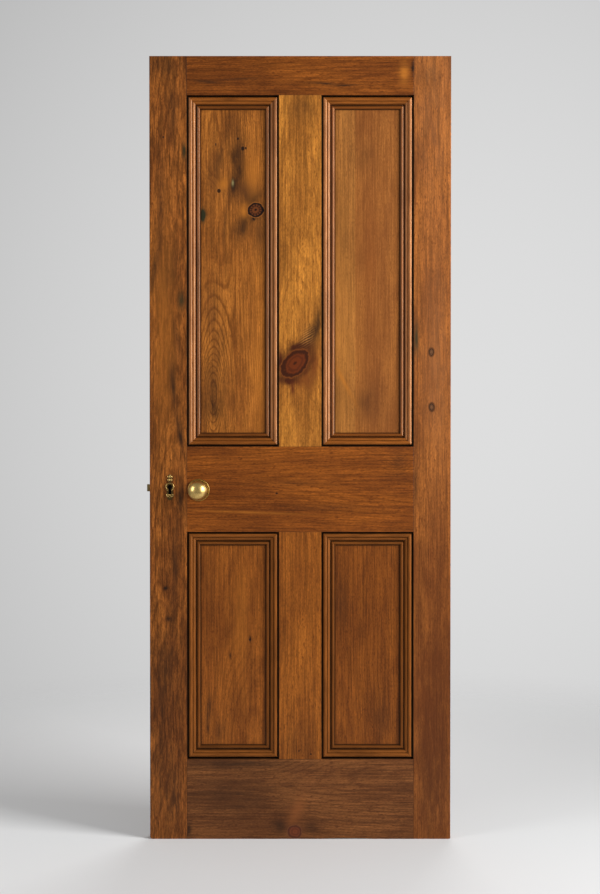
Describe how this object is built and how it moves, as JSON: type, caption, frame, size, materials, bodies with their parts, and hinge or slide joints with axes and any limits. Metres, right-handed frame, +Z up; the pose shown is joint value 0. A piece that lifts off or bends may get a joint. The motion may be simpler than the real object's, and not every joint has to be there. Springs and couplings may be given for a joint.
{
  "type": "panel door",
  "caption": "Panelled softwood door leaf with planted mouldings, a mortice lock, brass knobs and keyhole plates, gained for butt hinges.",
  "frame": {"origin": "middle of the leaf's bottom edge, centred in its width and thickness", "axes": "+X from the lock edge to the hinge edge, -Y out of the front face, +Z up"},
  "size_m": [0.771, 0.158, 1.981],
  "materials": {
    "stile_pine": "old waxed pine, mid brown, worn arrises",
    "rail_pine": "old waxed pine, mid brown",
    "muntin_pine": "old waxed pine, golden brown",
    "panel_pine": "old waxed pine, amber brown",
    "moulding_pine": "old waxed pine with dark quirks",
    "wedge_pine": "end grain, waxed",
    "polished_brass": "polished, lightly worn",
    "aged_brass": "aged, dark in the hollows",
    "lock_iron": "plain iron, oiled",
    "spring_steel": "blued spring steel"
  },
  "bodies": {
    "leaf": {"lock_stile": "stile_pine", "hinge_stile": "stile_pine", "top_rail": "rail_pine", "lock_rail": "rail_pine", "bottom_rail": "rail_pine", "upper_muntin": "muntin_pine", "lower_muntin": "muntin_pine", "tenon_wedges": "wedge_pine", "lock_case": "lock_iron", "lock_cap": "lock_iron", "lock_forend": "aged_brass", "latch_spring": "spring_steel", "fixing_screws": "lock_iron", "escutcheon_pins": "aged_brass", "front_rose": "polished_brass", "back_rose": "polished_brass", "front_escutcheon": "aged_brass", "back_escutcheon": "aged_brass", "upper_left_panel": "panel_pine", "front_upper_left_moulding_bottom": "moulding_pine", "front_upper_left_moulding_right": "moulding_pine", "front_upper_left_moulding_top": "moulding_pine", "front_upper_left_moulding_left": "moulding_pine", "back_upper_left_moulding_bottom": "moulding_pine", "back_upper_left_moulding_right": "moulding_pine", "back_upper_left_moulding_top": "moulding_pine", "back_upper_left_moulding_left": "moulding_pine", "upper_right_panel": "panel_pine", "front_upper_right_moulding_bottom": "moulding_pine", "front_upper_right_moulding_right": "moulding_pine", "front_upper_right_moulding_top": "moulding_pine", "front_upper_right_moulding_left": "moulding_pine", "back_upper_right_moulding_bottom": "moulding_pine", "back_upper_right_moulding_right": "moulding_pine", "back_upper_right_moulding_top": "moulding_pine", "back_upper_right_moulding_left": "moulding_pine", "lower_left_panel": "panel_pine", "front_lower_left_moulding_bottom": "moulding_pine", "front_lower_left_moulding_right": "moulding_pine", "front_lower_left_moulding_top": "moulding_pine", "front_lower_left_moulding_left": "moulding_pine", "back_lower_left_moulding_bottom": "moulding_pine", "back_lower_left_moulding_right": "moulding_pine", "back_lower_left_moulding_top": "moulding_pine", "back_lower_left_moulding_left": "moulding_pine", "lower_right_panel": "panel_pine", "front_lower_right_moulding_bottom": "moulding_pine", "front_lower_right_moulding_right": "moulding_pine", "front_lower_right_moulding_top": "moulding_pine", "front_lower_right_moulding_left": "moulding_pine", "back_lower_right_moulding_bottom": "moulding_pine", "back_lower_right_moulding_right": "moulding_pine", "back_lower_right_moulding_top": "moulding_pine", "back_lower_right_moulding_left": "moulding_pine"},
    "knob_set": {"front_knob": "polished_brass", "back_knob": "polished_brass", "spindle": "lock_iron", "follower": "lock_iron"},
    "latch": {"latch_bolt": "aged_brass"},
    "dead_bolt": {"dead_bolt": "aged_brass"}
  },
  "joints": [
    {"name": "knob_turn", "type": "hinge", "parent": "leaf", "child": "knob_set", "pos_m": [-0.257, 0, 0.886], "axis": [0, 1, 0], "range_deg": [0, 35]},
    {"name": "latch_slide", "type": "slide", "parent": "leaf", "child": "latch", "axis": [1, 0, 0], "range_m": [0, 0.009], "stiffness_N_per_m": 300, "springref_m": -0.02, "deforming": ["latch_spring"]},
    {"name": "dead_bolt_throw", "type": "slide", "parent": "leaf", "child": "dead_bolt", "axis": [-1, 0, 0], "range_m": [0, 0.013]}
  ],
  "couplings": [
    {"joint": "latch_slide", "follows": "knob_turn", "m_per_rad": 0.01473}
  ]
}
